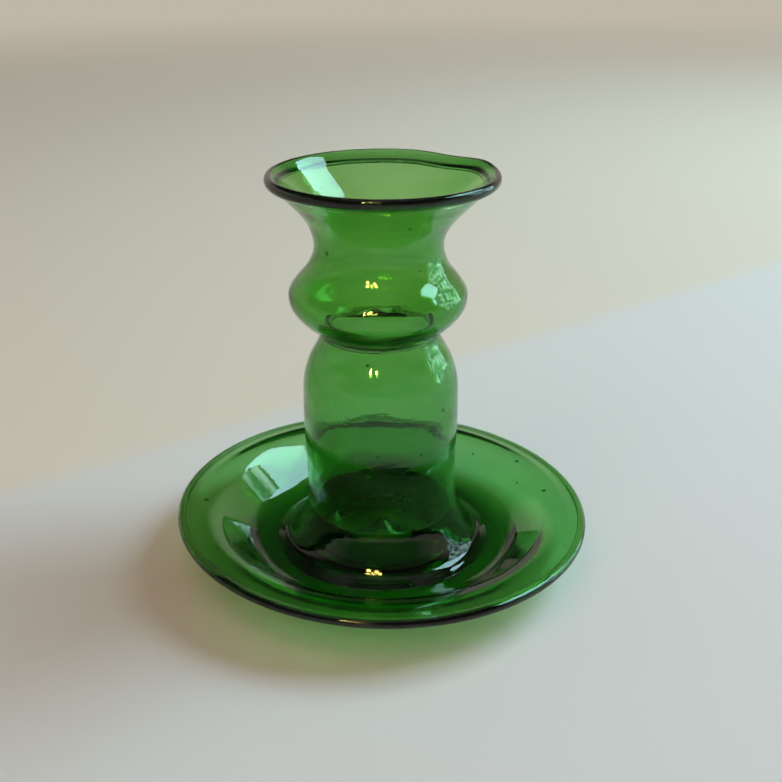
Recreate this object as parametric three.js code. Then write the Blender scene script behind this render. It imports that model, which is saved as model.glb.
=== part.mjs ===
// A free-blown green glass candlestick with a drip dish, in millimetres, +Z up.
// Its origin is the centre of the resting ring, on the surface that it stands on.
// Each piece is turned around the Z axis from its own section, then bent a little out of true,
// as hot glass that was shaped by hand.
import * as THREE from 'three';

const SEGMENTS = 40;          // facets around each piece
const JOIN_GAP = 0.3;         // clearance between two pieces that meet at a fused joint

// Mouth and socket
const LIP_RADIUS = 31.0;      // to the outside of the bead
const LIP_HEIGHT = 111.8;     // of the bead's centre
const LIP_BEAD = 1.8;         // radius of the bead's round section
const SOCKET_WALL = 1.9;
const NECK_RADIUS = 16.4;     // outside of the pinched neck, where socket and column meet
const NECK_HEIGHT = 70.2;

// Column
const COLUMN_WALL = 2.0;
const FOOT_RADIUS = 31.5;     // outer edge of the flared foot
const FOOT_EDGE = 0.5;        // thickness of the foot's thin edge

// Dish
const DISH_RADIUS = 60.0;
const RIM_HEIGHT = 14.0;      // of the rim's middle
const RIM_EDGE = 1.25;        // radius of the rounded rim
const RIM_WIDTH = 2.15;       // from the rim's joint with the flange to its outer edge
const FLOOR_HEIGHT = 4.8;     // top of the dish's floor
const REST_INNER = 24.0;      // the flat ring that the dish stands on
const REST_OUTER = 36.0;
const DISH_WALL = 2.5;
const CREST_RADIUS = 53.5;    // top of the broad turn from the wall to the flange
const CREST_HEIGHT = 15.6;
const CREST_BEND = 10;        // radius of that turn
const HEEL_BEND = 8;          // radius of the turn from the floor to the wall
const WALL_SLOPE = 42;        // degrees

// Base
const KICK_RADIUS = 18.7;
const KICK_APEX = 9.6;

// Hand-made unevenness
const DISH_TILT = 1.54;       // how much higher the rim is at -X, and lower at +X
const LIP_WAVE = 0.5;         // height of the dent and the corner at the back of the mouth
const LEAN = [                // sideways wander of the axis: height, shift along X
  [18, 0], [26, -0.35], [64, -0.35], [81, -0.95], [96, -0.65], [106, 0.15], [114, 0.5],
];

// Points along a smooth curve through the given [radius, height] points.
function smooth(list, count) {
  return new THREE.SplineCurve(corners(list)).getPoints(count);
}

// The same curve moved sideways by a wall's thickness, to the left of its direction.
function inset(curve, thickness) {
  return curve.map((point, i) => {
    const before = curve[Math.max(i - 1, 0)];
    const after = curve[Math.min(i + 1, curve.length - 1)];
    const along = after.clone().sub(before).normalize();
    return new THREE.Vector2(point.x - along.y * thickness, point.y + along.x * thickness);
  });
}

// Points along a circular arc, from one angle to another in degrees.
function arc(r, z, radius, from, to, steps) {
  const points = [];
  for (let i = 0; i <= steps; i += 1) {
    const angle = THREE.MathUtils.degToRad(from + ((to - from) * i) / steps);
    points.push(new THREE.Vector2(r + radius * Math.cos(angle), z + radius * Math.sin(angle)));
  }
  return points;
}

function corners(list) {
  return list.map(([r, z]) => new THREE.Vector2(r, z));
}

function interpolate(table, value) {
  const last = table.length - 1;
  if (value <= table[0][0]) return table[0][1];
  for (let i = 0; i < last; i += 1) {
    const [x0, y0] = table[i];
    const [x1, y1] = table[i + 1];
    if (value <= x1) {
      const t = THREE.MathUtils.smoothstep(value, x0, x1);
      return y0 + (y1 - y0) * t;
    }
  }
  return table[last][1];
}

// A low hump of the given width, in degrees, around an angle.
function hump(angle, centre, width) {
  const degrees = THREE.MathUtils.radToDeg(angle);
  return Math.exp(-(((degrees - centre) / width) ** 2));
}

// The unevenness of the hand-made shape, the same for every piece.
function bendByHand(point) {
  const radius = Math.hypot(point.x, point.y);
  const angle = Math.atan2(point.y, point.x);
  const onFlange = THREE.MathUtils.smoothstep(radius, REST_OUTER, CREST_RADIUS);
  const nearLip = THREE.MathUtils.smoothstep(point.z, 100, LIP_HEIGHT);
  const lipWave = LIP_WAVE * (hump(angle, 22, 12) - hump(angle, 52, 14));
  point.z += lipWave * nearLip - DISH_TILT * (point.x / DISH_RADIUS) * onFlange;
  point.x += interpolate(LEAN, point.z);
  return point;
}

// Turns a closed section, listed anticlockwise with the radius to the right, around the Z axis.
function turned(name, section, color) {
  const onAxis = section[0].x === 0 && section[section.length - 1].x === 0;
  const outline = onAxis ? section : [...section, section[0].clone()];
  const geometry = new THREE.LatheGeometry(outline, SEGMENTS);
  geometry.rotateX(Math.PI / 2);
  const position = geometry.attributes.position;
  const point = new THREE.Vector3();
  for (let i = 0; i < position.count; i += 1) {
    bendByHand(point.fromBufferAttribute(position, i));
    position.setXYZ(i, point.x, point.y, point.z);
  }
  geometry.computeVertexNormals();
  const material = new THREE.MeshStandardMaterial({ color, roughness: 0.05, metalness: 0 });
  material.transparent = true;
  material.opacity = 0.6;
  const mesh = new THREE.Mesh(geometry, material);
  mesh.name = name;
  return mesh;
}

// The bead that finishes the mouth: a ring of round section.
function rolledLip() {
  const sides = 12;
  const section = [];
  for (let i = 0; i < sides; i += 1) {
    const angle = (i / sides) * 2 * Math.PI;
    section.push(new THREE.Vector2(
      LIP_RADIUS - LIP_BEAD + LIP_BEAD * Math.cos(angle),
      LIP_HEIGHT + LIP_BEAD * Math.sin(angle),
    ));
  }
  return turned('rolled_lip', section, 0x1f4a1c);
}

// The blown cup: bulging ring above the neck, narrow waist, funnel mouth.
function candleSocket() {
  const outside = smooth([
    [NECK_RADIUS, NECK_HEIGHT + JOIN_GAP], [20.3, 73.0], [23.6, 77.0], [24.4, 81.2],
    [22.4, 84.7], [19.4, 88.4], [17.7, 92.4], [17.7, 96.2], [19.2, 100.0],
    [22.2, 103.9], [25.2, 107.1], [27.8, 109.7],
  ], 16);
  const inside = inset(outside, SOCKET_WALL);
  inside[0].set(NECK_RADIUS - SOCKET_WALL, NECK_HEIGHT + JOIN_GAP);
  return turned('candle_socket', [...outside, ...inside.reverse()], 0x2f8a34);
}

// The hollow stem: shoulder under the neck, straight wall, foot flared onto the dish's floor.
function column() {
  const footHeight = FLOOR_HEIGHT + JOIN_GAP;
  const outside = smooth([
    [FOOT_RADIUS, footHeight + FOOT_EDGE], [27.3, 7.3], [24.2, 11.3], [22.1, 16.2], [21.5, 22],
    [21.7, 32], [22.0, 42], [22.0, 51], [21.5, 57.0], [19.9, 62.0], [17.8, 65.8],
    [16.7, 68.4], [NECK_RADIUS, NECK_HEIGHT],
  ], 16);
  const inside = inset(outside, COLUMN_WALL).filter((point) => point.y > 15);
  inside[inside.length - 1].set(NECK_RADIUS - COLUMN_WALL, NECK_HEIGHT);
  const foot = corners([[20.0, footHeight], [FOOT_RADIUS, footHeight]]);
  const innerFoot = corners([[19.6, 10]]);
  return turned('column', [...foot, ...outside, ...inside.reverse(), ...innerFoot], 0x2f8a34);
}

// The saucer: flat floor on its resting ring, wall rising outward, level flange.
function dripDish() {
  const hole = KICK_RADIUS + JOIN_GAP;
  const flangeEnd = DISH_RADIUS - RIM_WIDTH - JOIN_GAP;
  const slope = THREE.MathUtils.degToRad(WALL_SLOPE);
  const crest = CREST_HEIGHT - CREST_BEND;
  const heel = FLOOR_HEIGHT + HEEL_BEND;
  const run = (heel - crest - (HEEL_BEND + CREST_BEND) * Math.cos(slope)) / -Math.tan(slope);
  const heelRadius = CREST_RADIUS - run - (HEEL_BEND + CREST_BEND) * Math.sin(slope);
  const under = [
    ...corners([[REST_OUTER, 0], [37.6, 0.45], [39.8, 2.5], [41.7, 5.05]]),
    ...arc(CREST_RADIUS, crest, CREST_BEND - DISH_WALL, 90 + WALL_SLOPE, 84, 6),
    ...corners([[flangeEnd, RIM_HEIGHT - RIM_EDGE]]),
  ];
  const top = [
    ...corners([[flangeEnd, RIM_HEIGHT + RIM_EDGE]]),
    ...arc(CREST_RADIUS, crest, CREST_BEND, 81.4, 90 + WALL_SLOPE, 7),
    ...arc(heelRadius, heel, HEEL_BEND, WALL_SLOPE - 90, -90, 5),
  ];
  const floor = corners([[hole, FLOOR_HEIGHT], [hole, 0.9], [REST_INNER, 0]]);
  return turned('drip_dish', [...under, ...top, ...floor], 0x1f6e24);
}

// The rounded edge that finishes the flange.
function dishRim() {
  const centre = DISH_RADIUS - RIM_EDGE;
  const inner = DISH_RADIUS - RIM_WIDTH;
  const section = corners([[inner, RIM_HEIGHT - RIM_EDGE]]);
  for (const angle of [-90, -45, 0, 45, 90].map(THREE.MathUtils.degToRad)) {
    section.push(new THREE.Vector2(
      centre + RIM_EDGE * Math.cos(angle),
      RIM_HEIGHT + RIM_EDGE * Math.sin(angle),
    ));
  }
  section.push(new THREE.Vector2(inner, RIM_HEIGHT + RIM_EDGE));
  return turned('dish_rim', section, 0x1f4a1c);
}

// The cone pushed up in the middle of the base.
function pontilKick() {
  const under = smooth([[0, 5.6], [2.2, 4.5], [6.5, 1.4], [11, 0.5], [KICK_RADIUS, 0.9]], 7);
  const top = smooth([
    [KICK_RADIUS, 4.6], [15, 2.9], [11, 2.6], [7.5, 3.9], [3.4, 7.2], [1.2, 9.0], [0, KICK_APEX],
  ], 9);
  return turned('pontil_kick', [...under, ...top], 0x175a1d);
}

const group = new THREE.Group();
group.add(rolledLip(), candleSocket(), column(), dripDish(), dishRim(), pontilKick());

export default group;
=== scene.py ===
# A free-blown green glass candlestick with a drip dish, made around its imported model.
# Sections are in millimetres, as [radius, height], and become metres when a piece is turned.
import math

import bmesh
import bpy
import numpy as np
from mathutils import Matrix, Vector


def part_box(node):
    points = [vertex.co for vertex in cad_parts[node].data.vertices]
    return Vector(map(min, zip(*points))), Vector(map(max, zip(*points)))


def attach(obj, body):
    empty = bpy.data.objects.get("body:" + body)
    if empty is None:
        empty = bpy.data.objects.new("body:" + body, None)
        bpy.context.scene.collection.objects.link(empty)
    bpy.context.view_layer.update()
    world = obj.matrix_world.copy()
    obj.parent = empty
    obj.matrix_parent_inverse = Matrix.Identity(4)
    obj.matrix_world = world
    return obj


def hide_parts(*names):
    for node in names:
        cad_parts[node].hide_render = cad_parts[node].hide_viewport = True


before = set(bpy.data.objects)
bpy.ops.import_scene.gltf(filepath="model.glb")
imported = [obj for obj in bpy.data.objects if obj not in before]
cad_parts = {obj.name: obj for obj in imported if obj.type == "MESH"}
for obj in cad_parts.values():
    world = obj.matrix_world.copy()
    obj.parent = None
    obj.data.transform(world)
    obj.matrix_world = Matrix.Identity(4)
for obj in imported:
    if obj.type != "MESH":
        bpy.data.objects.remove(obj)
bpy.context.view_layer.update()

MM = 0.001
AROUND = 288                  # steps around each piece
PER_SPAN = 10                 # steps between two points of a section
ON_AXIS = 1e-6                # a point with a smaller radius lies on the axis
SHARP_ANGLE = 32              # degrees; faces that turn by more keep a sharp edge
CAD_GAP = 0.3                 # left by the CAD between two fused pieces
OVERLAP = 0.12                # how far fused pieces run into each other, past the gap's middle


def node_box(node):
    low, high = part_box(node)
    return low / MM, high / MM


# Driving dimensions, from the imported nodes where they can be
lip_low, lip_high = node_box("rolled_lip")
socket_low, _ = node_box("candle_socket")
column_low, column_high = node_box("column")
rim_low, rim_high = node_box("dish_rim")
kick_low, kick_high = node_box("pontil_kick")

LIP_RADIUS = (lip_high.x - lip_low.x) / 2
LIP_HEIGHT = 111.8
WALL_END_OUT = (27.75, 109.45)   # where the funnel's wall runs into the lip
WALL_END_IN = (26.55, 111.0)
NECK_HEIGHT = (socket_low.z + column_high.z) / 2
NECK_RADIUS = 16.4
NECK_PINCH = 0.25             # how much narrower the neck is at its joint
NECK_EASE = 0.1               # how much wider its bore is there
SOCKET_WALL = 1.9
COLUMN_WALL = 2.0
BORE_LOW = 15.5               # height at which the column's even wall begins
FOOT_RADIUS = (column_high.x - column_low.x) / 2
DISH_RADIUS = (rim_high.x - rim_low.x) / 2
RIM_HEIGHT = (rim_high.z + rim_low.z) / 2
RIM_EDGE = 1.25               # radius of the rounded rim
RIM_WIDTH = 2.3
FLOOR_HEIGHT = 4.8
REST_INNER = 24.0             # the flat ring that the dish stands on
REST_OUTER = 36.0
CREST_RADIUS = 53.5
CREST_HEIGHT = 15.6
CREST_BEND = 10.0             # radius of the turn from the wall to the flange
CREST_END = 81.4              # degrees; where that turn ends on top
CREST_END_UNDER = 84          # degrees; where it ends underneath
HEEL_BEND = 8.0               # radius of the turn from the floor to the wall
WALL_SLOPE = 42.0             # degrees
DISH_WALL = 2.5
KICK_RADIUS = (kick_high.x - kick_low.x) / 2 + CAD_GAP / 2
KICK_APEX = kick_high.z

# Hand-made unevenness, the same as the frame's
DISH_TILT = 1.54              # how much higher the rim is at -X, and lower at +X
LIP_WAVE = 0.5
LIP_WAVE_LOW = 100            # height at which the wave begins
LIP_CORNER = (22, 12)         # a raised part of the mouth: its angle and width, in degrees
LIP_DENT = (52, 14)           # a lowered part
LEAN = [                      # sideways wander of the axis: height, shift along X
    (18, 0), (26, -0.35), (64, -0.35), (81, -0.95), (96, -0.65), (106, 0.15), (114, 0.5),
]

# Ripples that the turning and blowing left in the glass
RIPPLE_COUNT = 12
RIPPLE_TURNS = 4              # each has fewer waves than this around the axis
RIPPLE_ALONG = (0.25, 0.75)   # radians in a millimetre of height
RIPPLE_ACROSS = (0.25, 0.8)   # radians in a millimetre of radius
RIPPLE_PHASE = (0, 6.28)
RIPPLE_SIZE = (0.004, 0.010)
RIPPLE_OFF_REST = (0.0, 3.0)  # heights over which they grow from nothing
RIPPLE_OFF_AXIS = (0.5, 5.0)  # and radii


def smoothstep(value, low, high):
    t = np.clip((value - low) / (high - low), 0, 1)
    return t * t * (3 - 2 * t)


def smooth(points, per_span=PER_SPAN):
    """Fine steps along a curve that passes through the points."""
    p = np.array(points, float)
    p = np.vstack([p[:1], p, p[-1:]])
    curve = []
    for before, start, end, after in zip(p, p[1:], p[2:], p[3:]):
        leave, arrive = (end - before) / 2, (after - start) / 2
        for t in np.arange(per_span) / per_span:
            curve.append(
                (2 * start - 2 * end + leave + arrive) * t ** 3
                + (3 * end - 3 * start - 2 * leave - arrive) * t ** 2 + leave * t + start)
    curve.append(p[-1])
    return np.array(curve)


def inset(curve, thickness):
    """The curve moved sideways by a wall's thickness, to the left of its direction."""
    along = np.gradient(curve, axis=0)
    along /= np.linalg.norm(along, axis=1)[:, None]
    return curve + thickness * np.stack([-along[:, 1], along[:, 0]], axis=1)


def arc(centre, radius, start, end, steps):
    """Points along a circular arc, from one angle to another in degrees."""
    angles = np.radians(np.linspace(start, end, steps))
    return np.array(centre) + radius * np.stack([np.cos(angles), np.sin(angles)], axis=1)


def hump(degrees, centre, width):
    return np.exp(-((degrees - centre) / width) ** 2)


def bend_by_hand(x, y, z):
    """The unevenness of the hand-made shape, the same for every piece."""
    radius = np.hypot(x, y)
    degrees = np.degrees(np.arctan2(y, x))
    on_flange = smoothstep(radius, REST_OUTER, CREST_RADIUS)
    near_lip = smoothstep(z, LIP_WAVE_LOW, LIP_HEIGHT)
    lip_wave = LIP_WAVE * (hump(degrees, *LIP_CORNER) - hump(degrees, *LIP_DENT))
    z = z + lip_wave * near_lip - DISH_TILT * (x / DISH_RADIUS) * on_flange
    lean = np.full_like(z, LEAN[0][1], dtype=float)
    for (low, from_x), (high, to_x) in zip(LEAN, LEAN[1:]):
        lean += (to_x - from_x) * smoothstep(z, low, high)
    return x + lean, y, z


# One field of ripples for all pieces, so fused pieces stay aligned
rng = np.random.default_rng(11)
RIPPLES = [
    (int(rng.integers(0, RIPPLE_TURNS)), rng.uniform(*RIPPLE_ALONG), rng.uniform(*RIPPLE_ACROSS),
     rng.uniform(*RIPPLE_PHASE), rng.uniform(*RIPPLE_SIZE))
    for _ in range(RIPPLE_COUNT)
]


def ripple(angle, radius, height):
    """How far the surface stands out from its section."""
    depth = np.zeros_like(angle)
    for turns, along, across, phase, size in RIPPLES:
        depth += size * np.sin(turns * angle + along * height + across * radius + phase)
    off_rest = smoothstep(height, *RIPPLE_OFF_REST)
    off_axis = smoothstep(radius, *RIPPLE_OFF_AXIS)
    return depth * off_rest * off_axis


def added(name, data):
    """A new object in the scene."""
    thing = bpy.data.objects.new(name, data)
    bpy.context.scene.collection.objects.link(thing)
    return thing


def turned(name, section, material):
    """Turns a closed section, listed anticlockwise, around the Z axis as one closed mesh."""
    section = np.array(section, float)
    on_axis = section[0][0] < ON_AXIS and section[-1][0] < ON_AXIS
    before, after = np.roll(section, 1, axis=0), np.roll(section, -1, axis=0)
    along = after - before
    if on_axis:
        along[0], along[-1] = (1, 0), (-1, 0)
    along /= np.linalg.norm(along, axis=1)[:, None]
    outward = np.stack([along[:, 1], -along[:, 0]], axis=1)
    rings = section[1:-1] if on_axis else section
    normals = outward[1:-1] if on_axis else outward
    angles = np.arange(AROUND) * 2 * math.pi / AROUND
    angle, radius = np.meshgrid(angles, rings[:, 0])
    height = np.repeat(rings[:, 1:2], AROUND, axis=1)
    depth = ripple(angle, radius, height)
    radius = radius + normals[:, 0:1] * depth
    height = height + normals[:, 1:2] * depth
    x, y, z = bend_by_hand(radius * np.cos(angle), radius * np.sin(angle), height)
    points = np.stack([x, y, z], axis=-1).reshape(-1, 3)
    count = len(rings)
    faces = []
    for i in range(count - 1 if on_axis else count):
        this, following = i * AROUND, (i + 1) % count * AROUND
        for j in range(AROUND):
            k = (j + 1) % AROUND
            faces.append((this + j, this + k, following + k, following + j))
    if on_axis:
        poles = [bend_by_hand(*np.array([[0.0], [0.0], [section[i][1]]])) for i in (0, -1)]
        first, last = len(points), len(points) + 1
        points = np.vstack([points, [np.ravel(pole) for pole in poles]])
        top = (count - 1) * AROUND
        for j in range(AROUND):
            k = (j + 1) % AROUND
            faces.append((first, k, j))
            faces.append((last, top + j, top + k))
    mesh = bpy.data.meshes.new(name)
    mesh.from_pydata((points * MM).tolist(), [], faces)
    mesh.validate()
    mesh.polygons.foreach_set("use_smooth", [True] * len(mesh.polygons))
    mesh.set_sharp_from_angle(angle=math.radians(SHARP_ANGLE))
    mesh.materials.append(material)
    piece = added(name, mesh)
    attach(piece, "root")
    return piece


# Materials

def new_material(name):
    material = bpy.data.materials.new(name)
    material.use_nodes = True
    return material, material.node_tree.nodes, material.node_tree.links


def ramped(nodes, links, value, low, high, interpolation="LINEAR"):
    """A value as a share that goes from 0 at low to 1 at high."""
    ramp = nodes.new("ShaderNodeMapRange")
    ramp.interpolation_type = interpolation
    ramp.inputs["From Min"].default_value = low
    ramp.inputs["From Max"].default_value = high
    links.new(value, ramp.inputs["Value"])
    return ramp.outputs["Result"]


def mixed(nodes, links, share, start, end):
    """A colour between two others, each of them a colour or a node's output."""
    mix = nodes.new("ShaderNodeMix")
    mix.data_type = "RGBA"
    factor, colours, result = mix.inputs[0], mix.inputs[6:8], mix.outputs[2]
    links.new(share, factor)
    for socket, colour in zip(colours, (start, end)):
        if isinstance(colour, tuple):
            socket.default_value = (*colour, 1)
        else:
            links.new(colour, socket)
    return result


DENSITY = 1000.0
WAVE_HEIGHT = 0.00002         # of the fine waves in the glass's surface, in metres
STREAK_TINT = (0.90, 0.98, 0.90)
SEED_COLOUR = (0.03, 0.06, 0.03)
SEED_CELLS = 80.0             # cells in a metre, with one seed in each
SEED_EDGE = (0.045, 0.065)    # where a seed's dark middle ends and the clear glass begins, in cells


def absorbing(red, green, blue):
    """The colour that makes glass take away these shares of each colour per metre, at DENSITY."""
    return tuple(1 - share / DENSITY for share in (red, green, blue))


def green_glass(name, colour, seed):
    """Clear green glass: its colour comes from its depth.

    It has faint streaks, small dark seeds and a fire-polished surface with fine waves.
    """
    material, nodes, links = new_material(name)
    shader = nodes["Principled BSDF"]
    shader.inputs["IOR"].default_value = 1.5
    shader.inputs["Transmission Weight"].default_value = 1.0
    place = nodes.new("ShaderNodeTexCoord")

    streaks = nodes.new("ShaderNodeTexNoise")
    streaks.inputs["Scale"].default_value = 60.0
    streaks.inputs["Detail"].default_value = 3.0
    stretch = nodes.new("ShaderNodeMapping")
    stretch.inputs["Location"].default_value = (seed, seed, seed)
    stretch.inputs["Scale"].default_value = (1.0, 1.0, 4.0)
    links.new(place.outputs["Object"], stretch.inputs["Vector"])
    links.new(stretch.outputs["Vector"], streaks.inputs["Vector"])
    tint = nodes.new("ShaderNodeValToRGB")
    dark, clear = tint.color_ramp.elements
    dark.color, clear.color = (*STREAK_TINT, 1), (1, 1, 1, 1)
    dark.position, clear.position = 0.35, 0.65
    links.new(streaks.outputs["Fac"], tint.inputs["Fac"])

    cells = nodes.new("ShaderNodeTexVoronoi")
    cells.inputs["Scale"].default_value = SEED_CELLS
    links.new(place.outputs["Object"], cells.inputs["Vector"])
    off_seed = ramped(nodes, links, cells.outputs["Distance"], *SEED_EDGE)
    tinted = mixed(nodes, links, off_seed, SEED_COLOUR, tint.outputs["Color"])
    links.new(tinted, shader.inputs["Base Color"])

    polish = nodes.new("ShaderNodeMapRange")
    polish.inputs["To Min"].default_value = 0.0
    polish.inputs["To Max"].default_value = 0.02
    links.new(streaks.outputs["Fac"], polish.inputs["Value"])
    links.new(polish.outputs["Result"], shader.inputs["Roughness"])

    waves = nodes.new("ShaderNodeTexNoise")
    waves.inputs["Scale"].default_value = 220.0
    waves.inputs["Detail"].default_value = 1.5
    links.new(stretch.outputs["Vector"], waves.inputs["Vector"])
    bump = nodes.new("ShaderNodeBump")
    bump.inputs["Strength"].default_value = 1.0
    bump.inputs["Distance"].default_value = WAVE_HEIGHT
    links.new(waves.outputs["Fac"], bump.inputs["Height"])
    links.new(bump.outputs["Normal"], shader.inputs["Normal"])

    depth = nodes.new("ShaderNodeVolumeAbsorption")
    depth.inputs["Color"].default_value = (*colour, 1)
    depth.inputs["Density"].default_value = DENSITY
    links.new(depth.outputs["Volume"], nodes["Material Output"].inputs["Volume"])
    return material


edge_glass = green_glass("edge_glass", absorbing(640, 280, 760), 1.0)
socket_glass = green_glass("socket_glass", absorbing(540, 200, 720), 2.0)
column_glass = green_glass("column_glass", absorbing(500, 180, 580), 3.0)
dish_glass = green_glass("dish_glass", absorbing(540, 185, 600), 4.0)
base_glass = green_glass("base_glass", absorbing(540, 185, 600), 5.0)


# Pieces

def rolled_lip():
    """The thickened, fire-polished edge of the mouth: flush inside, rolled over outside."""
    nose = smooth([
        WALL_END_OUT, [28.6, 109.95], [29.8, 110.35], [30.75, 111.2], [LIP_RADIUS, 112.3],
        [30.6, 113.25], [29.7, 113.55], [28.7, 113.1], [27.8, 112.25], WALL_END_IN,
    ])
    joint = np.linspace(WALL_END_IN, WALL_END_OUT, 9)[1:-1]
    piece = turned("fire_polished_lip", np.vstack([nose, joint]), edge_glass)
    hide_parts("rolled_lip")


def candle_socket():
    """The blown cup: bulging ring above the neck, narrow waist, funnel mouth that meets the lip."""
    outside = smooth([
        [NECK_RADIUS - NECK_PINCH, NECK_HEIGHT - OVERLAP], [NECK_RADIUS + 0.1, NECK_HEIGHT + 0.3],
        [20.3, 73.0], [23.6, 77.0], [24.4, 81.2], [22.4, 84.7], [19.4, 88.4], [17.7, 92.4],
        [17.7, 96.2], [19.2, 100.0], [22.2, 103.9], [25.2, 107.0], [27.85, 109.6],
    ])
    inside = inset(outside, SOCKET_WALL)
    inside[0] = (NECK_RADIUS - SOCKET_WALL + NECK_EASE, NECK_HEIGHT - OVERLAP)
    inside[1:PER_SPAN, 0] = np.maximum(inside[1:PER_SPAN, 0], NECK_RADIUS - SOCKET_WALL)
    section = np.vstack([outside, inside[::-1]])
    piece = turned("blown_socket", section, socket_glass)
    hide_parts("candle_socket")


def column():
    """The hollow stem: shoulder under the neck, straight wall, foot flared onto the dish's floor."""
    buried = FLOOR_HEIGHT - OVERLAP
    outside = smooth([
        [FOOT_RADIUS, buried + 0.05], [29.6, 5.4], [27.3, 6.6], [24.6, 10.5], [22.3, 16.0],
        [21.5, 22], [21.7, 32], [22.0, 42], [22.0, 51], [21.5, 57.0], [19.9, 62.0], [17.8, 65.8],
        [16.7, 68.4], [NECK_RADIUS, NECK_HEIGHT - 0.3],
        [NECK_RADIUS - NECK_PINCH, NECK_HEIGHT + OVERLAP],
    ])
    inside = inset(outside, COLUMN_WALL)
    inside = inside[inside[:, 1] > BORE_LOW]
    inside[-1] = (NECK_RADIUS - COLUMN_WALL + NECK_EASE, NECK_HEIGHT + OVERLAP)
    inner_foot = smooth([inside[0], [19.5, 12.0], [19.7, 8.0], [20.4, 5.6], [21.4, buried]])
    foot = np.array([[r, buried] for r in np.linspace(21.9, FOOT_RADIUS - 0.5, 12)])
    section = np.vstack([foot, outside, inside[::-1], inner_foot[1:]])
    piece = turned("hollow_column", section, column_glass)
    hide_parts("column")


def drip_dish():
    """The saucer: flat floor on its resting ring, wall rising outward, level flange."""
    hole = KICK_RADIUS - OVERLAP / 2
    flange_end = DISH_RADIUS - RIM_WIDTH + OVERLAP
    low, high = RIM_HEIGHT - RIM_EDGE, RIM_HEIGHT + RIM_EDGE
    slope = math.radians(WALL_SLOPE)
    crest = (CREST_RADIUS, CREST_HEIGHT - CREST_BEND)
    wall_top = CREST_HEIGHT - CREST_BEND * (1 - math.cos(slope))
    wall_foot = FLOOR_HEIGHT + HEEL_BEND * (1 - math.cos(slope))
    heel_radius = (CREST_RADIUS - CREST_BEND * math.sin(slope)
                   - (wall_top - wall_foot) / math.tan(slope) - HEEL_BEND * math.sin(slope))
    heel = (heel_radius, FLOOR_HEIGHT + HEEL_BEND)
    flange = smooth([[flange_end, high - 0.02], [56.4, 15.33], [55.0, CREST_HEIGHT - 0.11]], 8)
    top = np.vstack([
        flange[:-1], arc(crest, CREST_BEND, CREST_END, 90 + WALL_SLOPE, 40),
        arc(heel, HEEL_BEND, -90 + WALL_SLOPE, -90, 30),
    ])
    under = np.vstack([
        smooth([[REST_OUTER - 0.6, 0], [37.6, 0.45], [39.8, 2.5], [41.7, 5.05]], 10)[:-1],
        arc(crest, CREST_BEND - DISH_WALL, 90 + WALL_SLOPE, CREST_END_UNDER, 30),
        smooth([[54.9, 12.98], [56.2, 12.8], [flange_end, low + 0.02]], 8),
    ])
    flat = np.array([[r, FLOOR_HEIGHT] for r in np.linspace(heel_radius - 1, hole, 16)])
    inner = smooth([[hole, 0.9], [REST_INNER - 2.5, 0.35], [REST_INNER, 0]], 6)
    rest = np.array([[r, 0] for r in np.linspace(REST_INNER + 1, REST_OUTER - 1.4, 12)])
    section = np.vstack([under, top, flat, inner, rest])
    piece = turned("drip_saucer", section, dish_glass)
    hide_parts("drip_dish")


def dish_rim():
    """The rounded edge that finishes the flange."""
    inner = DISH_RADIUS - RIM_WIDTH - OVERLAP
    nose = arc((DISH_RADIUS - RIM_EDGE, RIM_HEIGHT), RIM_EDGE, -90, 90, 33)
    low = [[inner, RIM_HEIGHT - RIM_EDGE + 0.15], [inner + 0.3, RIM_HEIGHT - RIM_EDGE + 0.02]]
    high = [[inner + 0.3, RIM_HEIGHT + RIM_EDGE - 0.02], [inner, RIM_HEIGHT + RIM_EDGE - 0.15]]
    back = [[inner, RIM_HEIGHT + t] for t in np.linspace(0.9, -0.9, 7)]
    piece = turned("saucer_rim", np.vstack([low, nose, high, back]), edge_glass)
    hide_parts("dish_rim")


def pontil_kick():
    """The cone pushed up in the middle of the base."""
    edge = KICK_RADIUS + OVERLAP / 2
    under = smooth([[0, 5.6], [2.2, 4.5], [6.5, 1.4], [11, 0.5], [edge, 1.0]])
    top = smooth([
        [edge, FLOOR_HEIGHT - 0.1], [15, 2.9], [11, 2.6], [7.5, 3.9], [3.4, 7.2], [1.2, 9.0],
        [0, KICK_APEX],
    ])
    piece = turned("pontil_cone", np.vstack([under, top]), base_glass)
    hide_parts("pontil_kick")


rolled_lip()
candle_socket()
column()
drip_dish()
dish_rim()
pontil_kick()


# Stage, lights and camera, in metres and degrees

FLOOR_HALF = 6.0
FLOOR_BELOW = -0.0003              # the air left between the glass and what it stands on
FLOOR_NEAR = (0.88, 0.74, 0.72)
FLOOR_FAR = (0.92, 0.71, 0.60)
FLOOR_LINE = (0.090, 0.108)        # from the middle, where the near colour turns into the far one
LINE_NORMAL = (-0.601, 0.799, 0)   # square to that line
FLOOR_FADE = (0.5, 2.0)            # from the middle, where the floor turns into the walls' colour

WALLS = (0.52, 0.48, 0.40)
UPPER_ROOM = (0.045, 0.042, 0.036)
CEILING = (0.36, 0.35, 0.32)
ROOM_BEHIND = (0.10, 0.094, 0.085)
BANDS = [(19, WALLS), (27, UPPER_ROOM), (55, UPPER_ROOM), (75, CEILING)]   # by elevation
# Where the room behind the camera begins and is complete, along a unit vector's Y and Z
BEHIND = (-0.30, -0.70)
BEHIND_LOW = (0.08, 0.14)
BEHIND_HIGH = (0.62, 0.50)

MIDDLE = Vector((0, 0, 0.06))      # what the lights face
WINDOW_RADIANCE = 10.0
SKY = (0.50, 0.88, 1.0)
GARDEN_DIM = (0.03, 0.07, 0.06)
GARDEN_BRIGHT = (0.40, 0.62, 0.60)
WARM_FILL = (1.0, 0.68, 0.46)

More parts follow.
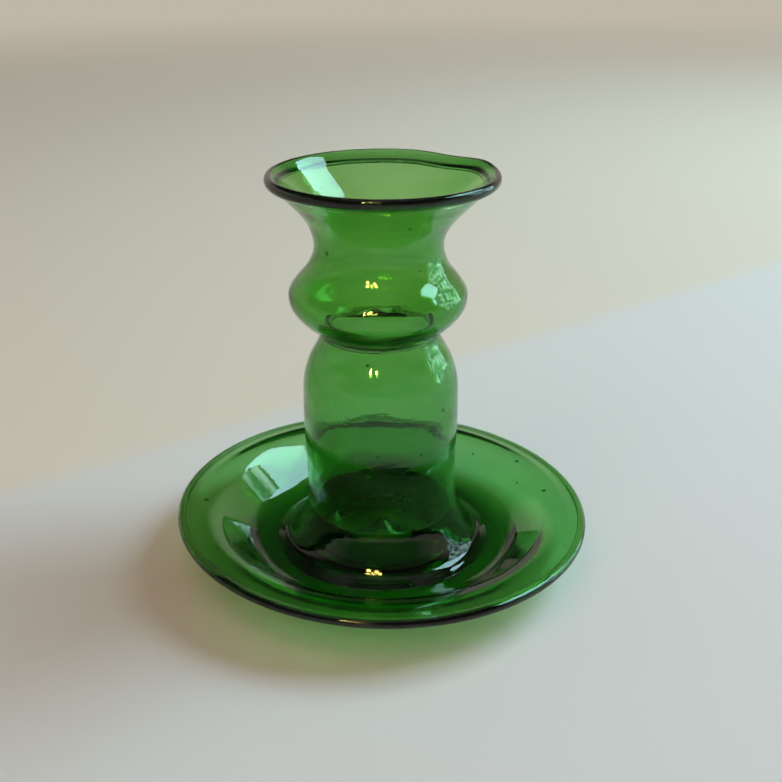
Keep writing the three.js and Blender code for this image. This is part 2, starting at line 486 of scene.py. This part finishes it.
BULBS = [(-108, 37), (-103, 42), (-97, 39), (-101, 47), (-110, 44), (-93, 44)]
BULB_RADIUS = 0.05
BULB_DISTANCE = 1.5
BULB_RADIANCE = 80.0
BULB_COLOUR = (1.0, 0.72, 0.16)

CAMERA_PLACE = (0.00259, -0.2726, 0.1737)
CAMERA_DOWN = 24.25                # how far it looks below the horizon
FOCAL_LENGTH = 48.34               # millimetres, on a sensor 36 mm wide
SENSOR_WIDTH = 36.0


def pale_floor():
    """A plain pale floor, warmer past a soft line behind the object, that fades into the walls."""
    mesh = bpy.data.meshes.new("floor")
    signs = ((-1, -1), (1, -1), (1, 1), (-1, 1))
    corners = [(x * FLOOR_HALF, y * FLOOR_HALF, FLOOR_BELOW) for x, y in signs]
    mesh.from_pydata(corners, [], [(0, 1, 2, 3)])
    material, nodes, links = new_material("pale_floor")
    shader = nodes["Principled BSDF"]
    shader.inputs["Roughness"].default_value = 0.9
    shader.inputs["Specular IOR Level"].default_value = 0.1
    place = nodes.new("ShaderNodeTexCoord")
    side = nodes.new("ShaderNodeVectorMath")
    side.operation = "DOT_PRODUCT"
    side.inputs[1].default_value = LINE_NORMAL
    links.new(place.outputs["Object"], side.inputs[0])
    past_line = ramped(nodes, links, side.outputs["Value"], *FLOOR_LINE, "SMOOTHSTEP")
    colour = mixed(nodes, links, past_line, FLOOR_NEAR, FLOOR_FAR)
    links.new(colour, shader.inputs["Base Color"])
    distance = nodes.new("ShaderNodeVectorMath")
    distance.operation = "LENGTH"
    links.new(place.outputs["Object"], distance.inputs[0])
    fade = ramped(nodes, links, distance.outputs["Value"], *FLOOR_FADE, "SMOOTHSTEP")
    wall = nodes.new("ShaderNodeEmission")
    wall.inputs["Color"].default_value = (*WALLS, 1)
    far = nodes.new("ShaderNodeMixShader")
    links.new(fade, far.inputs[0])
    links.new(shader.outputs[0], far.inputs[1])
    links.new(wall.outputs[0], far.inputs[2])
    links.new(far.outputs[0], nodes["Material Output"].inputs["Surface"])
    mesh.materials.append(material)
    floor = added("floor", mesh)


def direction(azimuth, elevation):
    """A unit vector: azimuth 0 is +X, 90 is +Y."""
    turn, rise = math.radians(azimuth), math.radians(elevation)
    return Vector((
        math.cos(rise) * math.cos(turn), math.cos(rise) * math.sin(turn), math.sin(rise)))


def face_middle(thing, azimuth, elevation, distance):
    """Puts a light around the object, turned towards its middle and out of the camera's sight."""
    away = direction(azimuth, elevation)
    thing.location = MIDDLE + away * distance
    thing.rotation_euler = away.to_track_quat("Z", "Y").to_euler()
    thing.visible_camera = False


def soft_light(name, azimuth, elevation, distance, width, height, colour, radiance):
    """A rectangular light that faces the object."""
    lamp = bpy.data.lights.new(name, "AREA")
    lamp.shape = "RECTANGLE"
    lamp.size, lamp.size_y = width, height
    lamp.color = colour
    lamp.energy = radiance * math.pi * width * height
    light = added(name, lamp)
    face_middle(light, azimuth, elevation, distance)
    return light


def window_pane(name, azimuth, elevation, distance, width, height, dim, bright):
    """The lower pane of the window, where the daylight is broken up by what stands outside."""
    mesh = bpy.data.meshes.new(name)
    x, y = width / 2, height / 2
    mesh.from_pydata([(-x, -y, 0), (x, -y, 0), (x, y, 0), (-x, y, 0)], [], [(3, 2, 1, 0)])
    material, nodes, links = new_material(name)
    nodes.remove(nodes["Principled BSDF"])
    place = nodes.new("ShaderNodeTexCoord")
    leaves = nodes.new("ShaderNodeTexNoise")
    leaves.inputs["Scale"].default_value = 7.0
    leaves.inputs["Detail"].default_value = 4.0
    links.new(place.outputs["Object"], leaves.inputs["Vector"])
    ramp = nodes.new("ShaderNodeValToRGB")
    shade, light = ramp.color_ramp.elements
    shade.position, light.position = 0.45, 0.62
    shade.color, light.color = (*dim, 1), (*bright, 1)
    links.new(leaves.outputs["Fac"], ramp.inputs["Fac"])
    glow = nodes.new("ShaderNodeEmission")
    glow.inputs["Strength"].default_value = WINDOW_RADIANCE
    links.new(ramp.outputs["Color"], glow.inputs["Color"])
    links.new(glow.outputs["Emission"], nodes["Material Output"].inputs["Surface"])
    mesh.materials.append(material)
    pane = added(name, mesh)
    face_middle(pane, azimuth, elevation, distance)


def warm_bulbs():
    """Small warm bulbs behind the camera, which only glint in the glass."""
    material, nodes, links = new_material("warm_bulb")
    nodes.remove(nodes["Principled BSDF"])
    glow = nodes.new("ShaderNodeEmission")
    glow.inputs["Color"].default_value = (*BULB_COLOUR, 1)
    glow.inputs["Strength"].default_value = BULB_RADIANCE
    links.new(glow.outputs["Emission"], nodes["Material Output"].inputs["Surface"])
    for i, (azimuth, elevation) in enumerate(BULBS):
        mesh = bpy.data.meshes.new(f"bulb_{i}")
        shape = bmesh.new()
        bmesh.ops.create_icosphere(shape, subdivisions=2, radius=BULB_RADIUS)
        shape.to_mesh(mesh)
        shape.free()
        mesh.materials.append(material)
        bulb = added(f"bulb_{i}", mesh)
        bulb.location = MIDDLE + direction(azimuth, elevation) * BULB_DISTANCE
        bulb.visible_camera = False
        bulb.visible_diffuse = False
        bulb.visible_shadow = False


def studio_world():
    """Pale walls, a dim upper room and a soft ceiling, in bands, and a dim room behind the camera."""
    world = bpy.data.worlds.new("studio")
    bpy.context.scene.world = world
    world.use_nodes = True
    nodes, links = world.node_tree.nodes, world.node_tree.links
    place = nodes.new("ShaderNodeTexCoord")
    split = nodes.new("ShaderNodeSeparateXYZ")
    links.new(place.outputs["Generated"], split.inputs[0])
    ramp = nodes.new("ShaderNodeValToRGB")
    for position in (0.4, 0.6):    # two more stops, which take their places below
        ramp.color_ramp.elements.new(position)
    for element, (elevation, colour) in zip(ramp.color_ramp.elements, BANDS):
        element.position = math.sin(math.radians(elevation))
        element.color = (*colour, 1)
    links.new(split.outputs["Z"], ramp.inputs["Fac"])

    limits = [(split.outputs["Y"], BEHIND), (split.outputs["Z"], BEHIND_LOW),
              (split.outputs["Z"], BEHIND_HIGH)]
    behind, *others = [ramped(nodes, links, value, *limit) for value, limit in limits]
    for other in others:
        both = nodes.new("ShaderNodeMath")
        both.operation = "MULTIPLY"
        links.new(behind, both.inputs[0])
        links.new(other, both.inputs[1])
        behind = both.outputs[0]
    colour = mixed(nodes, links, behind, ramp.outputs["Color"], ROOM_BEHIND)
    links.new(colour, nodes["Background"].inputs["Color"])


def front_camera():
    lens = bpy.data.cameras.new("camera")
    lens.lens = FOCAL_LENGTH
    lens.sensor_width = SENSOR_WIDTH
    lens.clip_start = 0.01
    camera = added("camera", lens)
    camera.location = CAMERA_PLACE
    camera.rotation_euler = (math.radians(90 - CAMERA_DOWN), 0, 0)
    bpy.context.scene.camera = camera


pale_floor()
studio_world()
front_camera()
soft_light("window_sky", azimuth=20, elevation=45, distance=1.5, width=1.0, height=0.55,
           colour=SKY, radiance=WINDOW_RADIANCE)
window_pane("window_garden", azimuth=20, elevation=16, distance=1.5, width=1.0, height=0.95,
            dim=GARDEN_DIM, bright=GARDEN_BRIGHT)
warm_fill = soft_light("warm_fill", azimuth=-110, elevation=55, distance=1.8, width=1.6,
                       height=1.2, colour=WARM_FILL, radiance=1.3)
warm_fill.visible_glossy = False
warm_bulbs()

scene = bpy.context.scene
scene.view_settings.view_transform = "Standard"
scene.cycles.max_bounces = 32
scene.cycles.transmission_bounces = 32
scene.cycles.glossy_bounces = 16
scene.cycles.use_denoising = True
